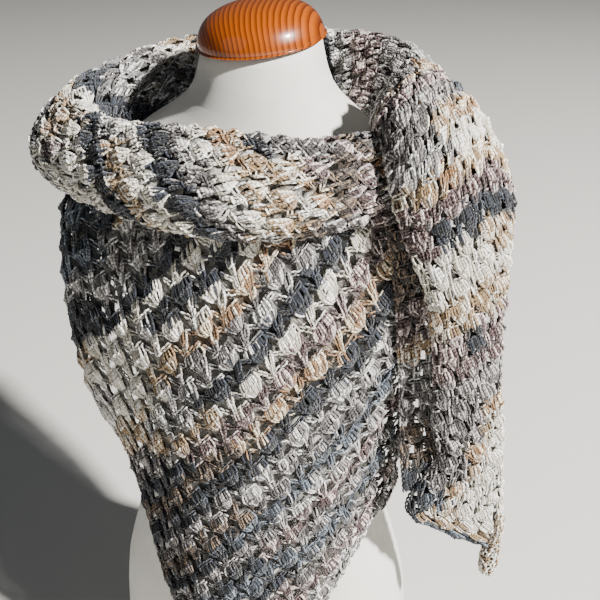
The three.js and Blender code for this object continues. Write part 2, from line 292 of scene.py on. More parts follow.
def body_point(drop, angle):
    """The form: a superellipse at each drop, deeper in front than behind, tilted by its lean."""
    half, front, back, lean = read(BODY, "half front back lean", RIM - drop)
    deep = np.where(np.cos(angle) > 0, front, back)
    across = np.abs(np.sin(angle) / half) ** BODY_ROUNDNESS
    along = np.abs(np.cos(angle) / deep) ** BODY_ROUNDNESS
    point = around((across + along) ** (-1 / BODY_ROUNDNESS), angle, drop)
    point[..., 2] += point[..., 1] * np.tan(np.radians(lean))
    return point


def shoulder_drop(radius, angle):
    """The drop at which the form's surface lies under a point of the plan, found by halving."""
    high, low = np.ones_like(radius), np.full_like(radius, 200.0)
    for _ in range(24):
        middle = (high + low) / 2
        inside = np.linalg.norm(body_point(middle, angle)[..., :2], axis=-1) < radius
        high, low = np.where(inside, middle, high), np.where(inside, low, middle)
    return RIM - body_point(low, angle)[..., 2]


# The collar's inner edge, where it would sink into the form, stays a little above it
TURNS = np.arange(-185.0, 226.0)
INNER_R, INNER_D = read(COLLAR, "inR inD", TURNS)
INNER_D = np.minimum(INNER_D, shoulder_drop(INNER_R, np.radians(TURNS)) - EDGE_LIFT)


def collar_point(turn, v):
    """The collar: five places of its section, each read at the turn, joined by a curve along v."""
    turn, v = np.broadcast_arrays(turn, v)
    radii = read(COLLAR, "inR topR outR lowR endR", turn)
    drops = [np.interp(turn, TURNS, INNER_D), *read(COLLAR, "topD outD lowD endD", turn)]
    radius, drop = (spline(COLLAR_AT, np.array(places), v) for places in (radii, drops))
    return around(radius, np.radians(turn), drop)


def drape_drop(turn, v):
    """The main triangle's drop for v: nought at its top under the roll, one at its free edge."""
    top = read(COLLAR, "endD", turn)[0] + PANEL_SEAM
    return top + (read(DRAPE, "hem", turn)[0] - top) * v


def drape_point(turn, v):
    """The main triangle: radii at seven drops, read at the turn, and soft folds added to them."""
    turn, drop = np.broadcast_arrays(turn, drape_drop(turn, v))
    radii = read(COLLAR, "endR", turn) + read(DRAPE, "r160 r230 r310 r390 r470 r600 r740", turn)
    knots = read(COLLAR, "endD", turn) + [level + 0 * turn for level in DRAPE_DROPS]
    radius = spline(np.array(knots), np.array(radii), drop)
    for at, width, depth, top, low in zip(*FOLDS.values()):
        along = np.clip((drop - top) / (low - top), 0, 1)
        radius = radius + depth * np.exp(-((turn - at) / width) ** 2) * np.sin(np.pi * along) ** 2
    return around(radius, np.radians(turn), drop)


def facing(across, out, drop):
    """A place given across the facing plane, out from it and by its drop."""
    across, out, drop = np.broadcast_arrays(across, out, drop)
    c, s = math.cos(TAIL_FACING), math.sin(TAIL_FACING)
    return np.stack([across * c + out * s, across * s - out * c, RIM - drop], -1)


def end_point(u, along):
    """The end: rows straight from left to right edge with an arch added to each.

    The first row is blended out of the collar's own section.
    """
    u, along = np.broadcast_arrays(u, along)
    left, right = (
        facing(*read(END, f"{edge}A {edge}O {edge}D", along)) for edge in ("left", "right")
    )
    arch_out, arch_up = read(END, "archO archU", along)
    arch = facing(0 * u, arch_out, RIM - arch_up)
    inner = np.clip(u, 0, 1)
    bow = np.clip(np.sin(np.pi * inner**END_ARCH_LEAN), 0, 1) ** END_ARCH_SHOULDER
    row = left + (right - left) * u[..., None] + arch * bow[..., None]
    near = np.clip(along, 0, 1)
    collar = collar_point(END_START - END_BLEND_TURN * near, inner**END_SECTION_LEAN)
    return collar + (row - collar) * (near**2 * (3 - 2 * near))[..., None]


def under_point(u, drop):
    """The lower layer: straight from its left to its right edge with a slight bulge."""
    u, drop = np.broadcast_arrays(u, drop)
    left, right, out, arch = read(UNDER, "left right out arch", drop)
    return facing(left + (right - left) * u, out + arch * 4 * u * (1 - u), drop)


# Each stretch of cloth has a chart: a runs to the right and b down, both in millimetres. Its
# unchart turns chart places back into the surface's own u and v.

SECTION_V = np.linspace(0, 1, 61)
B_STEP = 2.0
B_GRID = np.arange(-110.0, 200.0, B_STEP)


def section_lengths():
    """The length down each collar section from its crest, for every degree of turn."""
    length = run_along(collar_point(TURNS[:, None], SECTION_V))
    return length - np.array([[np.interp(COLLAR_AT[1], SECTION_V, row)] for row in length])


SECTION_B = section_lengths()
V_GRID = np.array([np.interp(B_GRID, row, SECTION_V, left=-0.2, right=1.2) for row in SECTION_B])


def bilinear(grid, x, y):
    """A grid read between its rows and columns at fractional places."""
    x = np.clip(x, 0, grid.shape[0] - 1.001)
    y = np.clip(y, 0, grid.shape[1] - 1.001)
    i, j = x.astype(int), y.astype(int)
    fx, fy = x - i, y - j
    top = grid[i, j] * (1 - fy) + grid[i, j + 1] * fy
    low = grid[i + 1, j] * (1 - fy) + grid[i + 1, j + 1] * fy
    return top * (1 - fx) + low * fx


def turn_of(a):
    """A chart's a as a turn in degrees."""
    return np.degrees(a / CHART_RADIUS)


def collar_chart(turn, v):
    """The collar's chart: the turn along its radius, and the length down the section."""
    place = bilinear(SECTION_B, turn - TURNS[0], v * (len(SECTION_V) - 1))
    return np.radians(turn) * CHART_RADIUS, place


def collar_unchart(a, b):
    """The collar's turn and v at a chart place."""
    turn = turn_of(a)
    return turn, bilinear(V_GRID, turn - TURNS[0], (b - B_GRID[0]) / B_STEP)


def drape_chart(turn, v):
    """The main triangle's chart: the turn along its radius, and the drop."""
    return np.radians(turn) * CHART_RADIUS, drape_drop(turn, v)


def drape_unchart(a, b):
    """The main triangle's turn and v at a chart place."""
    turn = turn_of(a)
    top, hem = drape_drop(turn, 0), drape_drop(turn, 1)
    return turn, (b - top) / (hem - top)


def strip(point, start, stop):
    """A strip's surface and charts: b is the length down its middle, a the width from there."""
    along = np.linspace(start, stop, 241)
    length = run_along(point(0.5, along))
    width = run_along(point(np.linspace(0, 1, 25), along[:, None]))[:, -1]

    def chart(u, v):
        """The chart place of u and v."""
        return (u - 0.5) * np.interp(v, along, width), np.interp(v, along, length)

    def unchart(a, b):
        """The u and v of a chart place, past the strip's ends too."""
        v = np.interp(b, length, along, left=start - 1, right=stop + 1)
        return a / np.interp(np.clip(v, start, stop), along, width) + 0.5, v

    return point, chart, unchart


# One space-dyed thread: each yarn's main ply and lighter ply

def linear(text):
    """An sRGB hex colour as linear light."""
    value = np.array([int(text[i : i + 2], 16) for i in (1, 3, 5)]) / 255
    return np.where(value <= 0.04045, value / 12.92, ((value + 0.055) / 1.055) ** 2.4)


YARNS = {
    "cream": ("#C6BFB0", "#FAF8F3"),
    "honey": ("#825A31", "#F0E2C8"),
    "straw": ("#8C6E46", "#F5EEDF"),
    "grey": ("#373232", "#C3BEBB"),
    "silver": ("#686463", "#EFEDEA"),
    "mauve": ("#36191A", "#DCCBC6"),
    "navy": ("#0D1016", "#2C3340"),
    "slate": ("#20262F", "#7B8692"),
    "umber": ("#1E1410", "#8A7560"),
}
YARN_MAIN, YARN_PALE = (
    {name: linear(pair[k]) for name, pair in YARNS.items()} for k in (0, 1)
)
ALL_ALONG = 9999  # past every end of the cloth


def bands(text):
    """Bands across the rows, one after another: where each ends, and its yarn.

    More yarns come as the place along s from which they run.
    """
    made, at = [], -ALL_ALONG
    for band in text.replace("\n", ";").split(";"):
        if words := band.split():
            places = [-ALL_ALONG, *map(float, words[2::2])]
            made.append((at, float(words[0]), list(zip(places, words[1::2]))))
            at = float(words[0])
    made[-1] = (made[-1][0], ALL_ALONG, made[-1][2])
    return made


class Rows:
    """How the rows of stitches lie on a chart, and the colours that follow each other across them.

    The rows rise to the right by an angle. n counts across them, down to the right, and s along
    them, up to the right, both in millimetres. A row repeats a shell, a V and a slanting chain
    every period, and each row is shifted from the one before it. t runs from a row's middle to
    its top, against n, and stitches lean along s as they rise. A shell has some posts, a spread
    between them and a puff off the cloth. A hole is its middle in s and t, its half width and
    half height, and its lean.
    """

    def __init__(self, rise, pitch, period, shift, n0, s0, posts, spread, puff, leans, holes, dye):
        self.sin, self.cos = math.sin(math.radians(rise)), math.cos(math.radians(rise))
        self.pitch, self.period, self.shift = pitch, period, shift
        self.n0, self.s0 = n0, s0
        self.posts, self.spread, self.puff = posts, spread, puff
        self.shell_lean, self.v_lean = leans
        self.holes, self.bands = holes, bands(dye)

    def to_chart(self, n, s):
        """The chart place of n and s."""
        return n * self.sin + s * self.cos, n * self.cos - s * self.sin

    def from_chart(self, a, b):
        """The n and s of a chart place."""
        return a * self.sin + b * self.cos, a * self.cos - b * self.sin

    def open_at(self, a, b):
        """Whether a chart place lies in one of the gaps of its repeat, each a leaning ellipse."""
        n, s = self.from_chart(a, b)
        row = np.round((n - self.n0) / self.pitch)
        t = self.n0 + row * self.pitch - n
        along = s - self.s0 - self.shift * row
        gap = np.zeros(a.shape, bool)
        for centre, high, wide, tall, lean in self.holes:
            off = (along - centre - lean * t + self.period / 2) % self.period - self.period / 2
            gap |= (off / wide) ** 2 + ((t - high) / tall) ** 2 < 1
        return gap

    def colours(self, n, s):
        """The yarn's two plies at each place: bands across the rows with slightly uneven edges."""
        # Two waves, of 3 mm and of 2 mm
        uneven = 3.0 * np.sin(s / 23.0 + n / 31.0) + 2.0 * np.sin(s / 9.0 - n / 17.0)
        main, pale = np.zeros(n.shape + (3,)), np.zeros(n.shape + (3,))
        for low, high, runs in self.bands:
            here = (n + uneven >= low) & (n + uneven < high)
            for start, name in runs:
                mask = here & (s + 2 * uneven >= start)
                main[mask], pale[mask] = YARN_MAIN[name], YARN_PALE[name]
        return main, pale


# The main triangle's bands. The first yarn of each is that of the lower left. Towards the upper
# left, under the roll, slate takes the place of silver, partly as dye and partly as painted shade.
PANEL_ROWS = Rows(
    rise=48, pitch=17.6, period=57, shift=-31, n0=186, s0=-84,
    posts=6, spread=4.0, puff=3.2, leans=(0.32, 0.65),
    holes=[(16.5, -1.5, 4.4, 5.4, 0.2), (36, -4, 6.4, 3.8, 0.5), (45, 4.5, 5.2, 3.4, 0.2)],
    dye="""
    -140 mauve; -120 navy; -102 silver; -84 grey; -48 slate; -30 navy; -12 slate -205 silver
    6 navy -198 straw; 24 slate -205 silver; 42 silver -225 grey; 59 navy -245 silver; 77 navy
    93 straw -300 cream; 111 cream -240 silver -205 navy; 128 silver -320 cream
    147 cream -265 straw -200 honey; 160 straw -290 cream -240 grey; 175 straw -330 silver
    193 grey -340 straw -290 silver -225 navy; 210 grey -300 straw -215 cream
    230 navy -290 mauve; 249 umber -240 honey; 270 navy; 290 grey -280 silver
    308 umber -280 grey; 327 navy -330 slate; 344 grey -300 silver; 362 navy -330 mauve
    379 slate -300 grey; 397 navy -320 slate; 415 mauve -330 grey; 432 grey -360 mauve
    450 navy -380 silver; 468 slate -390 grey; 485 mauve; 503 navy -400 grey
    521 grey -410 slate; 539 mauve -420 grey; 557 navy -430 mauve; 575 grey -440 navy
    """,
)
# The roll's bands run down to the right. Cream near the left end is partly the dye and partly
# painted light, where that end catches the light.
# Umber and grey at the roll's lower right are partly the dye and partly painted shade under the
# shoulder fold.
ROLL_ROWS = Rows(
    rise=133, pitch=16.5, period=33, shift=14, n0=-48, s0=0,
    posts=4, spread=4.4, puff=2.8, leans=(0.35, 0.5),
    holes=[(10.5, 0, 2.4, 4.4, 0.4), (21.5, 0, 2.6, 4.6, 0.3)],
    dye="""
    -330 mauve; -300 navy; -280 cream; -262 straw; -240 navy; -222 straw
    -203 mauve 190 cream; -178 silver 196 grey; -165 cream 110 straw 150 navy 172 silver
    -146 cream 66 mauve 84 straw 130 cream 150 navy 172 silver
    -118 cream 96 straw 128 cream 160 navy; -98 navy; -80 straw 60 silver; -60 cream
    -40 navy; -24 umber -72 grey; -6 grey -86 cream; 10 umber -96 straw -45 honey
    24 umber -104 straw; 34 grey -106 cream -52 navy; 46 grey -112 honey -78 straw -62 grey
    60 grey -122 umber -90 mauve -70 grey; 78 mauve -112 umber -90 grey; 90 grey -125 mauve
    104 honey -125 umber; 122 grey; 142 mauve; 162 navy; 182 cream; 205 honey; 232 silver
    255 grey; 290 mauve; 312 silver; 332 navy; 350 cream; 368 straw; 388 mauve; 408 grey
    428 navy; 448 silver; 470 mauve; 490 cream; 510 grey
    """,
)
# The end's bands rise to the right, and slope more towards the tip
END_HOLES = [(11, 0, 2.4, 5.0, 0.3), (23, 0, 2.7, 4.8, 0.3)]
END_ROWS = Rows(
    rise=38, pitch=16.5, period=33, shift=14, n0=144, s0=0,
    posts=5, spread=3.7, puff=2.8, leans=(0.3, 0.6), holes=END_HOLES,
    dye="""
    5 grey; 16 straw; 36 mauve; 56 grey -30 slate -12 navy; 76 grey -105 straw -62 honey
    98 silver -85 cream; 116 straw -120 honey -88 straw; 134 mauve; 155 mauve -150 navy
    180 cream -92 straw; 197 cream; 222 straw; 246 mauve -188 navy -165 mauve; 262 mauve
    296 grey; 315 grey -215 honey; 330 grey -240 straw -220 cream
    348 grey -275 honey -245 cream; 366 navy -325 grey -290 straw -270 cream
    384 navy -340 slate -320 honey -295 cream; 420 slate -350 straw -320 cream
    """,
)
UNDER_ROWS = Rows(
    rise=20, pitch=16.5, period=33, shift=14, n0=0, s0=0,
    posts=5, spread=3.7, puff=2.0, leans=(0.25, 0.4), holes=END_HOLES,
    dye="60 umber; 100 mauve; 118 straw; 150 silver; 185 grey; 232 umber; 300 navy",
)


class Stretch:
    """One stretch of the shawl: its surface with its chart, its ends in u and v, and its rows.

    grid is the columns and levels of its ground cloth. rests_on names the piece that it lies on,
    and is not used.
    """

    def __init__(self, name, surface, us, vs, rows, grid, rests_on="form_jersey"):
        self.name, self.us, self.vs, self.rows = name, us, vs, rows
        self.point, self.chart, self.unchart = surface
        self.grid, self.rests_on = grid, rests_on

    def spread(self, columns, levels):
        """A grid of u and v over the whole stretch."""
        u, v = np.linspace(*self.us, columns), np.linspace(*self.vs, levels)
        return np.meshgrid(u, v, indexing="ij")

    def normal(self, u, v):
        """Outward normal: the slope along v crossed with the slope along u."""
        su = 1e-3 * (self.us[1] - self.us[0])
        sv = 1e-3 * (self.vs[1] - self.vs[0])
        du = self.point(u + su, v) - self.point(u - su, v)
        dv = self.point(u, v + sv) - self.point(u, v - sv)
        return unit(np.cross(dv, du))

    def place(self, a, b, lift):
        """Points and normals for chart places, each pushed out by its lift and kept inside."""
        u, v = self.unchart(a, b)
        u, v = np.clip(u, *self.us), np.clip(v, *self.vs)
        n = self.normal(u, v)
        return self.point(u, v) + n * lift[..., None], n

    def inside(self, a, b):
        """Whether chart places lie on the cloth."""
        u, v = self.unchart(a, b)
        return (u >= self.us[0]) & (u <= self.us[1]) & (v >= self.vs[0]) & (v <= self.vs[1])


def between(low, high):
    """A range of turns less half a seam at each side."""
    return low + HALF_SEAM, high - HALF_SEAM


ON_COLLAR = (collar_point, collar_chart, collar_unchart)
ON_DRAPE = (drape_point, drape_chart, drape_unchart)
ON_END = strip(end_point, 0.0, 17.0)
ON_UNDER = strip(under_point, 128.0, 412.0)
WHOLE = (0, 1)
ALL_STRETCHES = [
    Stretch(
        "collar_front", ON_COLLAR, between(-72, 70), WHOLE, ROLL_ROWS, (130, 48),
        "front_panel_cloth",
    ),
    Stretch("collar_left", ON_COLLAR, between(-138, -72), WHOLE, ROLL_ROWS, (66, 72)),
    Stretch("collar_back", ON_COLLAR, between(138, 222), WHOLE, ROLL_ROWS, (76, 70)),
    Stretch("collar_right", ON_COLLAR, between(96, 138), WHOLE, ROLL_ROWS, (42, 76)),
    Stretch("front_panel", ON_DRAPE, between(-68, 68), WHOLE, PANEL_ROWS, (120, 190)),
    Stretch("drape_left", ON_DRAPE, between(-136, -68), WHOLE, PANEL_ROWS, (70, 60)),
    Stretch("drape_right", ON_DRAPE, between(68, 138), WHOLE, PANEL_ROWS, (60, 90)),
    Stretch("shoulder_fold", ON_END, WHOLE, (0, 5.99), END_ROWS, (48, 56)),
    Stretch("tail_front", ON_END, WHOLE, (6.01, 17), END_ROWS, (34, 120), "shoulder_fold_cloth"),
    Stretch("tail_under", ON_UNDER, WHOLE, (128, 412), UNDER_ROWS, (30, 96), "tail_front_cloth"),
]


# Meshes

def put(name, data):
    """A new object in the scene, at the origin."""
    piece = bpy.data.objects.new(name, data)
    bpy.context.scene.collection.objects.link(piece)
    return piece


def new_mesh(name, points, corners, starts, uv=None, plies=None):
    """An object from points, the faces' corners and where each face starts; sizes to metres."""
    mesh = bpy.data.meshes.new(name)
    mesh.vertices.add(len(points))
    mesh.vertices.foreach_set("co", (np.asarray(points) * MM).astype(np.float32).ravel())
    mesh.loops.add(len(corners))
    mesh.loops.foreach_set("vertex_index", np.asarray(corners, np.int32))
    mesh.polygons.add(len(starts))
    mesh.polygons.foreach_set("loop_start", np.asarray(starts, np.int32))
    mesh.polygons.foreach_set("use_smooth", np.ones(len(starts), bool))
    if uv is not None:
        mesh.uv_layers.new(name="UVMap").uv.foreach_set("vector", uv.astype(np.float32).ravel())
    if plies is not None:
        for attribute, colour in zip(("yarn", "ply"), plies):
            rgba = np.ones((len(points), 4), np.float32)
            rgba[:, :3] = colour
            layer = mesh.attributes.new(attribute, "FLOAT_COLOR", "POINT")
            layer.data.foreach_set("color", rgba.ravel())
    mesh.update(calc_edges=True)
    mesh.validate()
    piece = put(name, mesh)
    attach(piece, "root")
    return piece


def tubes(paths, normals, radius, sides):
    """Closed tubes along paths: each ring is a circle round the path, squared to its direction.

    paths and normals are arrays of paths, points and three numbers, radius of paths and points.
    Returns points, corners, starts and the corners' UV: once round, and millimetres along.
    """
    count, length = paths.shape[:2]
    tangent = unit(np.gradient(paths, axis=1))
    side = unit(np.cross(tangent, normals))
    up = np.cross(side, tangent)
    angle = np.arange(sides) * 2 * np.pi / sides
    ring = side[:, :, None] * np.cos(angle)[:, None] + up[:, :, None] * np.sin(angle)[:, None]
    points = paths[:, :, None] + ring * radius[:, :, None, None]
    first = (np.arange(count) * length * sides)[:, None, None]
    k = (np.arange(length - 1) * sides)[:, None]
    i = np.arange(sides)
    j = (i + 1) % sides
    quads = np.stack(
        [first + k + i, first + k + sides + i, first + k + sides + j, first + k + j], axis=-1
    )
    run = run_along(paths)[..., None]
    u = np.stack([i, i, i + 1, i + 1], -1) / sides
    v = np.stack([run[:, :-1], run[:, 1:], run[:, 1:], run[:, :-1]], -1)
    uv = np.stack(np.broadcast_arrays(u, v), -1).reshape(-1, 2)
    head = first[:, 0] + i
    tail = first[:, 0] + (length - 1) * sides + i[::-1]
    caps = np.concatenate([head, tail])
    corners = np.concatenate([quads.ravel(), caps.ravel()])
    starts = np.concatenate(
        [np.arange(quads.size // 4) * 4, quads.size + np.arange(len(caps)) * sides]
    )
    return points.reshape(-1, 3), corners, starts, np.concatenate([uv, np.zeros((caps.size, 2))])


class Strands:
    """Collects tubes of one yarn piece and makes them one mesh."""

    def __init__(self):
        self.parts, self.offset, self.corner = [], 0, 0

    def add(self, paths, normals, radius, sides, main, pale):
        """Adds tubes with the two ply colours of each path."""
        points, corners, starts, uv = tubes(paths, normals, radius, sides)
        main, pale = (np.repeat(ply, paths.shape[1] * sides, axis=0) for ply in (main, pale))
        self.parts.append((points, corners + self.offset, starts + self.corner, uv, main, pale))
        self.offset += len(points)
        self.corner += len(corners)

    def make(self, name):
        """The whole piece as one object."""
        *shape, main, pale = (np.concatenate(part) for part in zip(*self.parts))
        return new_mesh(name, *shape, (main, pale))


# Stitches. Lengths are in millimetres.
STROKE_POINTS = 4
STRAND = 1.12  # a ply's radius
PALE_SHARE = 0.42
SHELL_TAPER = np.array([0.78, 1, 1, 0.78])
EDGE_TAPER = np.array([0.65, 1.05, 1.05, 0.65])
KNOT_TAPER = 0.95 * np.array([0.7, 1, 1, 0.7])
ALONG_STROKE = np.linspace(0, 1, STROKE_POINTS)
SWELL = np.sin(np.pi * ALONG_STROKE)
SHELL_SIDES, CHAIN_SIDES = 4, 3
POST_STROKES = 5  # of each post of a shell
EDGE_LOOP = 5.5
CLOTH_DEPTH = 1.2  # of the ground cloth below the surface
CLOTH_SHADE_MAIN, CLOTH_SHADE_PALE = 0.42, 0.34  # how much darker the ground cloth's two plies are: painted shade between and under the strands
# How far posts reach past their row, the step between their feet, and how the puff falls aside
OVERLAP, FOOT_STEP, PUFF_FALL = 1.6, 1.5, 0.09
# Random shifts: of a shell across and along the rows, of a stroke's ends, its bend and its lift,
# and of the place that gives it its colour
SHELL_N, SHELL_S, END_SHIFT, BEND, LIFT_SHIFT, STRAY = 0.9, 1.3, 0.35, 0.7, 0.35, 2.2
TONES, WIDTHS = (0.62, 1.18), (0.88, 1.12)


def tone(main, pale):
    """Each stroke's two plies: some strokes show the lighter ply, and all vary a little."""
    count = len(main)
    light = rng.random(count)[:, None] < PALE_SHARE
    vary = rng.uniform(*TONES, (count, 1))
    first = np.where(light, pale, main) * vary
    second = np.where(light, main * 0.5 + pale * 0.5, main * 0.85 + pale * 0.15) * vary
    return np.clip(first, 0, 1), np.clip(second, 0, 1)


def cells(stretch):
    """The n and s of every shell of a stretch, one for each place of the lattice on the cloth."""
    rows = stretch.rows
    n, s = rows.from_chart(*stretch.chart(*stretch.spread(60, 60)))
    first = math.floor((n.min() - rows.n0) / rows.pitch) - 1
    last = math.ceil((n.max() - rows.n0) / rows.pitch) + 1
    row = np.arange(first, last + 1)
    reach = np.abs(s - rows.s0).max() + abs(rows.shift) * np.abs(row).max()
    most = math.ceil(reach / rows.period) + 2
    row, repeat = (x.ravel() for x in np.meshgrid(row, np.arange(-most, most + 1)))
    n_cell = rows.n0 + rows.pitch * row
    s_cell = rows.s0 + rows.shift * row + rows.period * repeat
    near = (s_cell > s.min() - rows.period) & (s_cell < s.max() + rows.period)
    return n_cell[near], s_cell[near]


def chain_strokes(start, end, lift, loop=5.2):
    """Strokes of a chain from one place to another: two to a loop, opening towards its end."""
    start, end = np.array(start, float), np.array(end, float)
    way = end - start
    length = np.linalg.norm(way)
    count = max(1, round(length / loop))
    across = np.array([-way[1], way[0]]) / length
    strokes = []
    for k in range(count):
        head = start + way * (k - 0.12) / count
        tail = start + way * (k + 1.15) / count
        for side in (-1, 1):
            p, q = head + across * 0.35 * side, tail + across * 1.15 * side
            strokes.append((*p, *q, lift - 0.4, lift + 0.2, 0.9, *(across * 0.95 * side)))
    return strokes


def stitch_plan(rows):
    """The strokes of yarn in one repeat of a row, in s and t from the shell's middle.

    Each is its start and its end, its lift at both, how far it bulges between them, and how far
    it bows aside, so that two make a loop. A shell is a fan of treble posts, each a lower and an
    upper pair of strokes with a wrap round its waist. Half a period on stands a V of two thinner
    posts, and a chain slants from its top to the foot of the next shell.
    """
    foot_t, top_t = -rows.pitch / 2 - OVERLAP, rows.pitch / 2 + OVERLAP
    strokes = []

    def stroke(lean, start, end, lifts, bulge, bow_s=0, bow_t=0):
        """Adds a stroke between two places of a stitch that leans as it rises."""
        places = [x for s, t in (start, end) for x in (s + lean * t, t)]
        strokes.append((*places, *lifts, bulge, bow_s, bow_t))

    lean = rows.shell_lean
    for k in range(rows.posts):
        off = k - (rows.posts - 1) / 2
        puff = rows.puff * (1 - PUFF_FALL * off**2)
        foot, waist = FOOT_STEP * off, rows.spread * off
        for side in (-1, 1):
            stroke(
                lean, (foot + 0.3 * side, foot_t), (waist + 0.7 * side, 1.6),
                (0.1, 0.4 + puff), 0.9, 0.6 * side + 0.45 * off,
            )
            stroke(
                lean, (waist + 0.5 * side, -1.4), (waist * 0.8 + 0.4 * side, top_t),
                (0.3 + puff, -0.2), 1.5, 0.95 * side + 0.4 * off,
            )
        stroke(
            lean, (waist - 1.6, -1.5), (waist + 1.6, 0.5), (0.9 + puff, 0.9 + puff), 0.9, bow_t=0.7
        )
    lean = rows.v_lean
    middle, wide = rows.period / 2, rows.spread * 0.75
    for leg in (-1, 1):
        for side in (-1, 1):
            stroke(
                lean, (middle + 0.8 * leg + 0.4 * side, foot_t),
                (middle + wide * 0.75 * leg + 0.6 * side, 1.2), (0.2, 1.6), 0.7, 0.5 * side,
            )
            stroke(
                lean, (middle + wide * 0.65 * leg + 0.6 * side, -1.2),
                (middle + wide * leg + 0.5 * side, top_t - 0.8), (1.5, 0.2), 1.2,
                0.9 * side + 0.6 * leg,
            )
    stroke(lean, (middle - wide, 0.8), (middle + wide, 0.2), (2.0, 2.0), 0.7, bow_t=0.7)
    v_top = middle + rows.v_lean * top_t + wide * 0.6
    next_foot = rows.period + rows.shell_lean * foot_t + 0.5
    strokes += chain_strokes((v_top, top_t - 2.5), (next_foot, foot_t + 2.5), 1.0)
    width = rows.spread * (rows.posts - 1) / 2
    bar = rows.shell_lean * top_t
    if rows is PANEL_ROWS:
        v_foot = middle + rows.v_lean * foot_t
        strokes += chain_strokes((width + bar + 1.5, top_t - 5), (v_foot, foot_t + 2.5), 0.7)
    bar_t = top_t - 0.6
    strokes += chain_strokes((bar - width - 1, bar_t), (bar + width + 1, bar_t), 0.9, 6.5)
    return np.array(strokes)


def stitches(stretch, strands, chosen, sides):
    """Every stroke of the plan at every place of the lattice, laid on the cloth and lifted off it.

    A stroke is a straight line in the chart with its lift added, a half sine on top of a slope
    from one end's lift to the other's, and each is moved and toned a little for itself.
    """
    rows = stretch.rows
    plan = stitch_plan(rows)[chosen].T[:, :, None]
    n_cell, s_cell = cells(stretch)
    shape = (plan.shape[1], len(n_cell))
    n_cell = n_cell - rng.normal(0, SHELL_N, len(n_cell))
    s_cell = s_cell + rng.normal(0, SHELL_S, len(s_cell))
    s0, t0, s1, t1 = plan[:4] + rng.normal(0, END_SHIFT, (4, *shape))
    mid_n, mid_s = n_cell - (t0 + t1) / 2, s_cell + (s0 + s1) / 2
    here = stretch.inside(*rows.to_chart(mid_n, mid_s))
    mid_n, mid_s = mid_n[here], mid_s[here]
    s0, t0, s1, t1, low, high, bulge, bow_s, bow_t, n_base, s_base = (
        np.broadcast_to(values, shape)[here][:, None]
        for values in (s0, t0, s1, t1, *plan[4:], n_cell, s_cell)
    )
    count, w = len(mid_n), ALONG_STROKE
    bend = rng.normal(0, BEND, (count, 1)) * SWELL
    n = n_base - (t0 + (t1 - t0) * w) - bow_t * SWELL + bend * 0.4
    s = s_base + (s0 + (s1 - s0) * w) + bow_s * SWELL + bend
    lift = low + (high - low) * w + bulge * SWELL + rng.normal(0, LIFT_SHIFT, (count, 1))
    points, normals = stretch.place(*rows.to_chart(n, s), lift)
    radius = STRAND * rng.uniform(*WIDTHS, (count, 1)) * SHELL_TAPER
    stray_n, stray_s = rng.normal(0, STRAY, (2, count))
    shades = tone(*rows.colours(mid_n + stray_n, mid_s + stray_s))
    strands.add(points, normals, radius, sides, *shades)


def edging(stretch, strands, u, v, fans):
    """A chain along an edge of the cloth, given as the edge's parameters, and small fans on it.

    The edge is walked in even steps of a loop. A loop is two strokes opening along the edge, and
    a fan is five strokes spreading outwards from it in the cloth's own plane.
    """
    fine, coarse = np.linspace(0, 1, 1200), np.linspace(0, 1, len(u))
    u, v = np.interp(fine, coarse, u), np.interp(fine, coarse, v)
    run = run_along(stretch.point(u, v))
    loops = max(4, int(run[-1] / EDGE_LOOP))
    marks = np.linspace(0, run[-1], loops + 1)
    u, v = np.interp(marks, run, u), np.interp(marks, run, v)
    points, normals = stretch.point(u, v), stretch.normal(u, v)
    tangent = unit(np.gradient(points, axis=0))
    across = np.cross(tangent, normals)
    inward = stretch.point((u * 9 + np.mean(stretch.us)) / 10, (v * 9 + np.mean(stretch.vs)) / 10)
    outward = -np.sign(np.sum((inward - points) * across, axis=-1, keepdims=True))
    main, pale = stretch.rows.colours(*stretch.rows.from_chart(*stretch.chart(u, v)))
    w, swell = ALONG_STROKE[:, None], SWELL[:, None]

    def lay(k, start, end, aside=0.0):
        """Lays a stroke at each of the loops k, bowed up and aside."""
        ups = normals[k][:, None]
        line = start[:, None] + (end - start)[:, None] * w + ups * (swell * 0.7 + 0.2)
        radius = np.tile(STRAND * EDGE_TAPER, (len(k), 1))
        shades = tone(main[k], pale[k])
        ups = np.broadcast_to(ups, line.shape)
        strands.add(line + aside * swell, ups, radius, SHELL_SIDES, *shades)

    k = np.arange(loops)
    for side in (-1, 1):
        start = points[k] - tangent[k] * 0.6 + across[k] * 0.3 * side
        end = points[k + 1] + tangent[k] * 0.6 + across[k] * 1.2 * side
        lay(k, start, end, across[k][:, None] * 0.9 * side)
    if fans:
        k = np.arange(1, loops - 1, 3)
        for ray in (-1.0, -0.5, 0.0, 0.5, 1.0):
            reach = fans * (1 - 0.25 * abs(ray))
            root = points[k] + tangent[k] * 0.8 * ray
            tip = points[k] + tangent[k] * 5.2 * ray + across[k] * outward[k] * reach
            lay(k, root, tip)


def ground(stretch):
    """The cloth itself: a thin sheet just under the yarn, open between the shells and the Vs, its
    yarn colours darkened as painted shade.
    """
    rows, (columns, levels) = stretch.rows, stretch.grid
    u, v = stretch.spread(columns, levels)
    points = stretch.point(u, v) - stretch.normal(u, v) * CLOTH_DEPTH
    a, b = stretch.chart(u, v)
    gap = rows.open_at((a[:-1, :-1] + a[1:, 1:]) / 2, (b[:-1, :-1] + b[1:, 1:]) / 2)
    gap[[0, -1], :] = False
    gap[:, [0, -1]] = False
    i, j = np.arange(columns - 1)[:, None] * levels, np.arange(levels - 1)
    quads = np.stack([i + j, i + j + 1, i + levels + j + 1, i + levels + j], -1)[~gap]
    n, s = rows.from_chart(a.ravel(), b.ravel())
    main, pale = rows.colours(n, s)
    return new_mesh(
        stretch.name + "_cloth",
        points.reshape(-1, 3),
        quads.ravel(),
        np.arange(len(quads)) * 4,
        np.stack([s, n], -1)[quads.ravel()],
        (main * CLOTH_SHADE_MAIN, pale * CLOTH_SHADE_PALE),
    )


# Materials

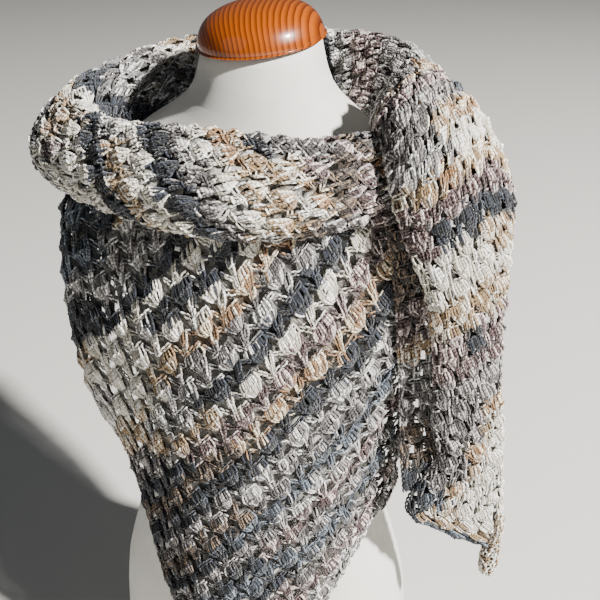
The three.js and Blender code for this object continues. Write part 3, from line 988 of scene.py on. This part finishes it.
def feed(tree, node, inputs):
    """Gives each input of a node its value, or links it to a socket or a node's first output."""
    for key, value in inputs.items():
        if isinstance(value, bpy.types.Node):
            value = value.outputs[0]
        if isinstance(value, bpy.types.NodeSocket):
            tree.links.new(value, node.inputs[key])
        else:
            node.inputs[key].default_value = value


def add(tree, kind, inputs=None, **settings):
    """Adds a node with its settings and feeds its inputs."""
    node = tree.nodes.new("ShaderNode" + kind)
    for key, value in settings.items():
        setattr(node, key, value)
    feed(tree, node, inputs or {})
    return node


def material(name, roughness, sheen=0.0, coat=0.0, coat_roughness=0.1):
    """A new material, its nodes and its shader, whose even values are on its own sockets."""
    made = bpy.data.materials.new(name)
    made.use_nodes = True
    tree = made.node_tree
    shader = tree.nodes["Principled BSDF"]
    feed(tree, shader, {
        "Roughness": roughness,
        "Sheen Weight": sheen,
        "Coat Weight": coat,
        "Coat Roughness": coat_roughness,
    })
    return made, tree, shader


def plied(tree, share):
    """The piece's two plies, mixed by a share."""
    yarn, ply = (add(tree, "Attribute", attribute_name=name) for name in ("yarn", "ply"))
    return add(tree, "Mix", {"Factor": share, 6: yarn, 7: ply}, data_type="RGBA").outputs[2]


def mapped(tree, value, low, high, to_low=0.0, to_high=1.0):
    """A value's range from low to high, mapped to another."""
    ends = {"From Min": low, "From Max": high, "To Min": to_low, "To Max": to_high}
    return add(tree, "MapRange", {"Value": value, **ends})


def shaded(tree, colour, level):
    """A colour made lighter or darker by a level."""
    return add(tree, "VectorMath", {0: colour, "Scale": level}, operation="SCALE")


def ripple(tree, value, times):
    """A sine wave of a value, as many radians as it has times."""
    turned = add(tree, "Math", {0: value, 1: times}, operation="MULTIPLY")
    return add(tree, "Math", {0: turned}, operation="SINE")


def yarn_material():
    """Soft plied cotton yarn: two plies twist round each other every 3 mm, with a fibrous bloom."""
    made, tree, shader = material("plied_cotton_yarn", 0.86, sheen=0.25)
    place = add(tree, "UVMap", uv_map="UVMap")
    where = add(tree, "TexCoord").outputs["Object"]
    split = add(tree, "SeparateXYZ", {0: place})
    # One turn of the plies for every 3.2 mm along the strand
    along = add(tree, "Math", {0: split.outputs["Y"], 1: 3.2}, operation="DIVIDE")
    twist = add(tree, "Math", {0: along, 1: split.outputs["X"]}, operation="ADD")
    wave = ripple(tree, twist, 2 * math.pi)
    # Fibres about 0.4 mm apart, and slower changes of the dye over 6 mm
    fibre = add(tree, "TexNoise", {"Vector": where, "Scale": 2400.0, "Detail": 2.0})
    dye = add(tree, "TexNoise", {"Vector": where, "Scale": 160.0, "Detail": 2.0})
    height = add(tree, "Math", {0: fibre, 1: 0.4, 2: wave}, operation="MULTIPLY_ADD")
    level = mapped(tree, dye, 0.3, 0.7, 0.82, 1.12)
    feed(tree, shader, {
        "Base Color": shaded(tree, plied(tree, mapped(tree, wave, -0.3, 0.5)), level),
        "Normal": add(tree, "Bump", {"Height": height, "Strength": 0.6, "Distance": 0.4 * MM}),
    })
    return made


def cloth_material():
    """The crochet's inner strands: strokes 2.4 mm wide and 8 mm long across the rows, darker
    towards each stroke's edges as painted shade.
    """
    made, tree, shader = material("crochet_ground", 0.92, sheen=0.1)
    place = add(tree, "UVMap", uv_map="UVMap")
    squeeze = add(tree, "Mapping", {"Vector": place, "Scale": (1 / 2.4, 1 / 8.0, 1.0)})
    strokes = add(
        tree, "TexVoronoi", {"Vector": squeeze, "Scale": 1.0, "Randomness": 0.75},
        voronoi_dimensions="2D",
    )
    chance = add(tree, "SeparateColor", {0: strokes.outputs["Color"]})
    bump = {"Height": strokes, "Strength": 0.9, "Distance": 1.2 * MM}
    # Painted shade: each stroke darkens towards its edges, where the bump sinks it
    feed(tree, shader, {
        "Base Color": shaded(tree, plied(tree, chance), mapped(tree, strokes, 0.1, 0.6, 1.1, 0.3)),
        "Normal": add(tree, "Bump", bump, invert=True),
    })
    return made


def jersey_material():
    """Off-white cotton jersey: fine wales upright every 1.7 mm, soft and matt, a little uneven,
    with painted shade in the hollows of the knit.
    """
    made, tree, shader = material("cotton_jersey", 0.9, sheen=0.15)
    place = add(tree, "UVMap", uv_map="UVMap")
    where = add(tree, "TexCoord").outputs["Object"]
    split = add(tree, "SeparateXYZ", {0: place})
    wales, courses = (
        ripple(tree, split.outputs[axis], 2 * math.pi / pitch)
        for axis, pitch in (("X", 1.7), ("Y", 1.3))
    )
    weave = add(tree, "Math", {0: courses, 1: 0.35, 2: wales}, operation="MULTIPLY_ADD")
    mottle = add(tree, "TexNoise", {"Vector": where, "Scale": 60.0, "Detail": 4.0})
    greys = {6: (*linear("#D0CDC6"), 1), 7: (*linear("#DEDBD4"), 1)}
    cotton = add(tree, "Mix", {"Factor": mottle, **greys}, data_type="RGBA")
    # Painted shade: the knit's hollows, where the bump sinks, are darker
    feed(tree, shader, {
        "Base Color": shaded(tree, cotton.outputs[2], mapped(tree, weave, -1.3, 1.3, 0.9, 1.03)),
        "Normal": add(tree, "Bump", {"Height": weave, "Strength": 0.35, "Distance": 0.4 * MM}),
    })
    return made


def pine_material():
    """Turned pine under glossy orange varnish: darker growth rings, cut as arcs by the turning."""
    made, tree, shader = material("varnished_pine", 0.32, coat=0.8, coat_roughness=0.08)
    where = add(tree, "TexCoord").outputs["Object"]
    # The heart runs from front to back, 62 mm to the wearer's right. A ring is 4 mm wide.
    heart = add(tree, "Mapping", {"Vector": where, "Location": (0.062, 0.0, -0.808)})
    rings = add(
        tree, "TexWave",
        {"Vector": heart, "Scale": 74.0, "Distortion": 1.2, "Detail": 1.5, "Detail Scale": 0.6},
        wave_type="RINGS", rings_direction="Y", wave_profile="SAW",
    )
    ramp = add(tree, "ValToRGB", {"Fac": rings.outputs["Fac"]})
    for element, position, tint in zip(
        ramp.color_ramp.elements, (0.35, 0.95), ("#934500", "#4E1C00")
    ):
        element.color, element.position = (*linear(tint), 1), position
    feed(tree, shader, {"Base Color": ramp, "Specular IOR Level": 0.3})
    return made


yarn = yarn_material()
cloth = cloth_material()
jersey = jersey_material()
pine = pine_material()


def finish_piece(piece, slot, look, *nodes):
    """Gives a piece its material and hides the CAD nodes that it stands for; its slot is not used.
    """
    piece.data.materials.append(look)
    if nodes:
        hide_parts(*nodes)
    return piece


# The form: jersey over the torso, and the turned cap

JERSEY_RADIUS = 140  # at which the jersey's wales keep their pitch
TORSO_SIDES, CAP_SIDES, TIP_SIDES = 96, 72, 24
TORSO_LEVELS, CAP_STEPS = 90, 40


def ring_stack(levels, sides, upwards=True):
    """Corners and starts of rings one above another, with a fan to a centre at each end.

    The points are those of the rings, one ring after another, and then the two centres.
    """
    i = np.arange(levels - 1)[:, None] * sides
    j = np.arange(sides)
    k = (j + 1) % sides
    quads = np.stack([i + j, i + k, i + sides + k, i + sides + j], -1).reshape(-1, 4)
    centre, end = np.full(sides, levels * sides), (levels - 1) * sides
    fans = np.concatenate(
        [np.stack([k, j, centre], -1), np.stack([end + j, end + k, centre + 1], -1)]
    )
    if not upwards:
        quads, fans = quads[:, [0, 3, 2, 1]], fans[:, [1, 0, 2]]
    starts = np.concatenate([np.arange(len(quads)) * 4, quads.size + np.arange(len(fans)) * 3])
    return np.concatenate([quads.ravel(), fans.ravel()]), starts


def with_centres(rings):
    """The points of the rings, and the middles of the first and the last."""
    return np.concatenate([rings.reshape(-1, 3), [rings[0].mean(axis=0), rings[-1].mean(axis=0)]])


def circle(sides):
    """The angles of a ring's points."""
    return np.arange(sides) * 2 * np.pi / sides


def make_torso():
    """The form's surface on a fine grid of drops and angles, its top tilted as the cap is."""
    drops = np.unique(np.concatenate([np.linspace(820, 1, TORSO_LEVELS), BODY["drop"]]))[::-1]
    rings = body_point(drops[:, None], circle(TORSO_SIDES))
    near_top = np.clip((TOP_STARTS - drops[:, None]) / TOP_BLEND, 0, 1)
    near_top = near_top**2 * (3 - 2 * near_top)
    untilt = math.tan(math.radians(TOP_LEAN)) - math.tan(math.radians(CAP_LEAN))
    roll = math.tan(math.radians(TOP_ROLL))
    rings[..., 2] += near_top * (TOP_RISE + rings[..., 1] * untilt + rings[..., 0] * roll)
    corners, starts = ring_stack(len(drops), TORSO_SIDES)
    width = np.arange(TORSO_SIDES + 1) / TORSO_SIDES * 2 * np.pi * JERSEY_RADIUS
    height = (RIM - drops)[:, None]
    u = np.stack([width[:-1], width[1:], width[1:], width[:-1]], -1)
    v = np.stack([height[:-1], height[:-1], height[1:], height[1:]], -1)
    uv = np.stack(np.broadcast_arrays(u, v), -1).reshape(-1, 2)
    uv = np.concatenate([uv, np.zeros((len(corners) - len(uv), 2))])
    return new_mesh("form_jersey", with_centres(rings), corners, starts, uv)


def make_cap():
    """The cap: its profile curve turned round its own axis, then leant and rolled."""
    knots, steps = np.linspace(0, 1, len(CAP["radius"])), np.linspace(0, 1, CAP_STEPS)
    radius = np.maximum(spline(knots, CAP["radius"], steps[1:-1]), 0.2)[:, None]
    rise = np.maximum(spline(knots, CAP["rise"], steps), 0)
    angle = circle(CAP_SIDES)
    rings = np.broadcast_arrays(radius * np.cos(angle), radius * np.sin(angle), rise[1:-1, None])
    ends = [[0, 0, rise[0]], [0, 0, rise[-1]]]
    x, y, z = np.concatenate([np.stack(rings, -1).reshape(-1, 3), ends]).T
    lean, roll = math.radians(TOP_LEAN), math.radians(TOP_ROLL)
    deep = y * math.cos(lean) - z * math.sin(lean)
    high = y * math.sin(lean) + z * math.cos(lean)
    side = x * math.cos(roll) - high * math.sin(roll)
    high = x * math.sin(roll) + high * math.cos(roll) + CAP_BASE
    points = np.stack([side, deep, high], -1)
    return new_mesh("pine_cap", points, *ring_stack(len(radius), CAP_SIDES))


finish_piece(make_torso(), "jersey", jersey, "form_torso")
finish_piece(make_cap(), "varnished_pine", pine, "form_cap")


# The shawl: ground cloth, shells and chains on every stretch

def edges_of(stretch):
    """The edges of a stretch that get a chain, as their parameters and the reach of their fans."""
    across, down = np.linspace(*stretch.us, 40), np.linspace(*stretch.vs, 40)
    none, full = 0 * across, 0 * across + 1
    if stretch.rows is PANEL_ROWS:
        return [(across, full, 6.0)]
    if stretch.rows is ROLL_ROWS:
        return [(across, none, 5.0), (across, full, 0.0)]
    return [(none, down, 0.0), (full, down, 6.0 if stretch.name == "tail_front" else 3.5)]


cloth_pieces, yarn_pieces = {}, {}
for stretch in ALL_STRETCHES:
    name = stretch.name
    cloth_pieces[name] = finish_piece(ground(stretch), "yarn", cloth, name)
    shell_strokes = stretch.rows.posts * POST_STROKES
    fans = Strands()
    stitches(stretch, fans, slice(0, shell_strokes), SHELL_SIDES)
    shells = finish_piece(fans.make(name + "_shells"), "yarn", yarn)
    links = Strands()
    stitches(stretch, links, slice(shell_strokes, None), CHAIN_SIDES)
    for u_edge, v_edge, reach in edges_of(stretch):
        edging(stretch, links, u_edge, v_edge, reach)
    chains = finish_piece(links.make(name + "_chains"), "yarn", yarn)
    yarn_pieces[name] = [shells, chains]

TIP_LEVELS = 20
TIP_WIDE, TIP_DEEP = 0.84, 0.42  # the core's share of the knot's width and thickness
KNOT_CHAINS = 8
KNOT_LOOP, KNOT_REACH = 5.2, 7.0


def make_tip_core():
    """The tip's core: an oval at each drop of its table."""
    drops = np.linspace(TIP["drop"][0], TIP["drop"][-1], TIP_LEVELS)
    left, right, out, thick = read(TIP, "left right out thick", drops[:, None])
    angle = circle(TIP_SIDES)
    across = (left + right) / 2 + (right - left) / 2 * TIP_WIDE * np.sin(angle)
    points = with_centres(facing(across, out + thick * TIP_DEEP * np.cos(angle), drops[:, None]))
    corners, starts = ring_stack(TIP_LEVELS, TIP_SIDES, upwards=False)
    # Painted shade: the core's plies are darkened straw and honey's main ply, for the shade inside
    # the bundle of loops
    plies = (YARN_MAIN["straw"] * 0.6, YARN_MAIN["honey"])
    return new_mesh("tail_tip_core", points, corners, starts, np.zeros((len(corners), 2)), plies)


def make_tip_loops():
    """Chains of loops down and round the knot, each loop two strokes that open and close."""
    strands = Strands()
    w, top = ALONG_STROKE, KNOT["drop"][0]
    length = KNOT["drop"][-1] - top
    for chain in range(KNOT_CHAINS):
        begin = np.arange(0, length - 3, KNOT_LOOP) + KNOT_LOOP * rng.random()
        begin = begin[begin < length - 3][:, None]
        loops = len(begin)
        turn = 2 * np.pi * chain / KNOT_CHAINS + rng.normal(0, 0.16, (loops, 1))
        twist = rng.normal(0, 0.3, (loops, 1))
        drop = top + np.minimum(begin + KNOT_REACH * w, length)
        middle, out, half, deep = read(KNOT, "middle out half deep", drop)
        for side in (-1, 1):
            angle = turn + twist * (w - 0.5) + side * (0.08 + 0.3 * SWELL)
            swell = 0.5 * SWELL + rng.normal(0, 0.4, (loops, 1))
            across, outward = (half + swell) * np.sin(angle), (deep + swell) * np.cos(angle)
            path = facing(middle + across, out + outward, drop)
            yarns = rng.choice(["cream", "straw", "honey"], loops, p=[0.45, 0.3, 0.25])
            plies = (np.array([ply[chosen] for chosen in yarns]) for ply in (YARN_MAIN, YARN_PALE))
            radius = np.tile(STRAND * KNOT_TAPER, (loops, 1))
            normals = unit(path - facing(middle, out, drop))
            strands.add(path, normals, radius, SHELL_SIDES, *tone(*plies))
    return strands.make("tail_tip_loops")


finish_piece(make_tip_core(), "yarn_tip", cloth, "tail_tip")
finish_piece(make_tip_loops(), "yarn_tip", yarn)


def cut_of(stretch):
    """The flat size of a stretch: its greatest width and length and its area, in metres."""
    points = stretch.point(*stretch.spread(60, 60)) * MM
    over, down = (
        np.linalg.norm(np.diff(points, axis=k), axis=-1).sum(axis=k).max() for k in (0, 1)
    )
    first = points[1:, 1:] - points[:-1, :-1]
    second = points[1:, :-1] - points[:-1, 1:]
    area = np.linalg.norm(np.cross(first, second), axis=-1).sum() / 2
    return float(over), float(down), float(area)


for stretch in ALL_STRETCHES:
    width, length, area = cut_of(stretch)

# Floor, light and camera

FLOOR = 14  # half its side in metres
floor = put("floor", bpy.data.meshes.new("floor"))
floor.data.from_pydata(
    [(x * FLOOR, y * FLOOR, 0) for x, y in ((-1, -1), (1, -1), (1, 1), (-1, 1))], [], [(0, 1, 2, 3)]
)
paint, paint_tree, paint_shader = material("matt_floor_paint", 0.9)
feed(paint_tree, paint_shader, {"Base Color": (*linear("#CFCDC8"), 1)})
floor.data.materials.append(paint)


def axes(side, up, back):
    """The turn that sets an object's own axes along three directions."""
    return Matrix(np.column_stack([side, up, back]).tolist())


def area_light(name, direction, distance, size, power, colour, target=(0.02, 0, 0.55)):
    """A round light at a distance in a direction from the target, turned to face it."""
    data = bpy.data.lights.new(name, "AREA")
    data.shape, data.size, data.energy, data.color = "DISK", size, power, colour
    light = put(name, data)
    away = unit(np.array(direction, float))
    side = unit(np.cross([0, 0, 1], away))
    light.location = np.array(target) + away * distance
    light.rotation_euler = axes(side, np.cross(away, side), away).to_euler()


# The sun of the photograph stood high on the wearer's left, a little in front
area_light(
    "key", (0.73, -0.27, 0.63), distance=6.0, size=0.35, power=1600, colour=(1.0, 0.98, 0.945)
)
area_light("fill", (-0.6, -0.8, 0.5), distance=3.0, size=2.4, power=5, colour=(0.82, 0.9, 1.0))

world = bpy.data.worlds.new("studio")
world.use_nodes = True
sky = world.node_tree.nodes["Background"]
feed(world.node_tree, sky, {"Color": (0.80, 0.84, 0.9, 1), "Strength": 0.1})
bpy.context.scene.world = world

# The photograph's camera: 719 mm from the axis and 962 mm up, 18 degrees to the wearer's left
CAMERA_DISTANCE, CAMERA_HEIGHT = 719.0, 962.0
CAMERA_TURN, CAMERA_PAN = math.radians(18), math.radians(3.05)
CAMERA_PITCH, CAMERA_ROLL = math.radians(28.9), math.radians(1.1)
LENS_MM, SENSOR_MM = 48.0, 36.0


def make_camera():
    """A camera that heads for the axis, panned, pitched down and rolled."""
    heading = -CAMERA_TURN + CAMERA_PAN
    level = np.array([math.sin(heading), math.cos(heading), 0])
    right, up = np.array([level[1], -level[0], 0]), np.array([0, 0, 1.0])
    ahead = math.cos(CAMERA_PITCH) * level - math.sin(CAMERA_PITCH) * up
    over = math.sin(CAMERA_PITCH) * level + math.cos(CAMERA_PITCH) * up
    side = math.cos(CAMERA_ROLL) * right + math.sin(CAMERA_ROLL) * over
    top = -math.sin(CAMERA_ROLL) * right + math.cos(CAMERA_ROLL) * over
    data = bpy.data.cameras.new("camera")
    data.lens, data.sensor_width = LENS_MM, SENSOR_MM
    camera = put("camera", data)
    place = around(CAMERA_DISTANCE, CAMERA_TURN, RIM - CAMERA_HEIGHT)
    camera.matrix_world = Matrix.Translation(place * MM) @ axes(side, top, -ahead).to_4x4()
    bpy.context.scene.camera = camera


make_camera()
